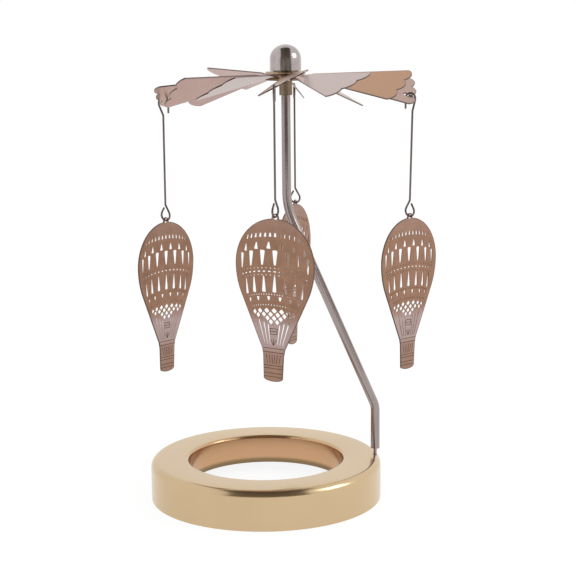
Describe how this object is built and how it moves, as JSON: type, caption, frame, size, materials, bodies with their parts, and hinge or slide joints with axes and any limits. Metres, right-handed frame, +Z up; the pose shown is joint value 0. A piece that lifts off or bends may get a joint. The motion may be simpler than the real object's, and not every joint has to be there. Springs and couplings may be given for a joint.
{
  "type": "rotary candle holder",
  "caption": "Tealight carousel: a hollow brass ring, a bent rod and a bladed sheet rotor on a needle, with wire-hung hot-air-balloon pendants cut from sheet.",
  "frame": {"origin": "on the floor, at the centre of the base ring", "axes": "+Z is up along the ring's axis; +X points at the foot of the rod, and the rotor's axis stands on +X"},
  "size_m": [0.1023, 0.1033, 0.1556],
  "materials": {
    "ring_brass": "polished, pale gold",
    "rod_steel": "drawn, bright",
    "dome_chrome": "polished",
    "rotor_brass": "satin, pinkish brass sheet",
    "balloon_brass": "etched, reddish brass sheet"
  },
  "bodies": {
    "base": {"base_ring": "ring_brass", "rod_socket": "rod_steel", "support_rod": "rod_steel"},
    "rotor": {"rotor": "rotor_brass", "hub_washer": "rotor_brass", "hub_bush": "rotor_brass", "dome_cap": "dome_chrome"},
    "hanger_1": {"hanger_1": "rod_steel"},
    "hanger_2": {"hanger_2": "rod_steel"},
    "hanger_3": {"hanger_3": "rod_steel"},
    "hanger_4": {"hanger_4": "rod_steel"},
    "balloon_1": {"balloon_1": "balloon_brass"},
    "balloon_2": {"balloon_2": "balloon_brass"},
    "balloon_3": {"balloon_3": "balloon_brass"},
    "balloon_4": {"balloon_4": "balloon_brass"}
  },
  "joints": [
    {"name": "rotor_spin", "type": "hinge", "parent": "base", "child": "rotor", "pos_m": [0.0081, 0, 0.1543], "axis": [0, 0, 1], "continuous": true},
    {"name": "hanger_1_swing", "type": "hinge", "parent": "rotor", "child": "hanger_1", "pos_m": [0.00275, -0.04191, 0.1423], "axis": [-0.9919, 0.1267, 0], "range_deg": [-6, 25]},
    {"name": "balloon_1_turn", "type": "hinge", "parent": "hanger_1", "child": "balloon_1", "pos_m": [0.0027, -0.04223, 0.10302], "axis": [0, 0, 1], "range_deg": [-35, 35]},
    {"name": "hanger_2_swing", "type": "hinge", "parent": "rotor", "child": "hanger_2", "pos_m": [0.04952, -0.00426, 0.1376], "axis": [-0.1022, -0.9948, 0], "range_deg": [-6, 25]},
    {"name": "balloon_2_turn", "type": "hinge", "parent": "hanger_2", "child": "balloon_2", "pos_m": [0.04952, -0.00426, 0.09773], "axis": [0, 0, 1], "range_deg": [-35, 35]},
    {"name": "hanger_3_swing", "type": "hinge", "parent": "rotor", "child": "hanger_3", "pos_m": [0.01299, 0.04164, 0.13928], "axis": [0.9932, -0.1165, 0], "range_deg": [-6, 25]},
    {"name": "balloon_3_turn", "type": "hinge", "parent": "hanger_3", "child": "balloon_3", "pos_m": [0.01302, 0.04196, 0.09741], "axis": [0, 0, 1], "range_deg": [-35, 35]},
    {"name": "hanger_4_swing", "type": "hinge", "parent": "rotor", "child": "hanger_4", "pos_m": [-0.03301, 0.00496, 0.13653], "axis": [0.1198, 0.9928, 0], "range_deg": [-6, 25]},
    {"name": "balloon_4_turn", "type": "hinge", "parent": "hanger_4", "child": "balloon_4", "pos_m": [-0.03317, 0.00498, 0.09633], "axis": [0, 0, 1], "range_deg": [-35, 35]}
  ]
}
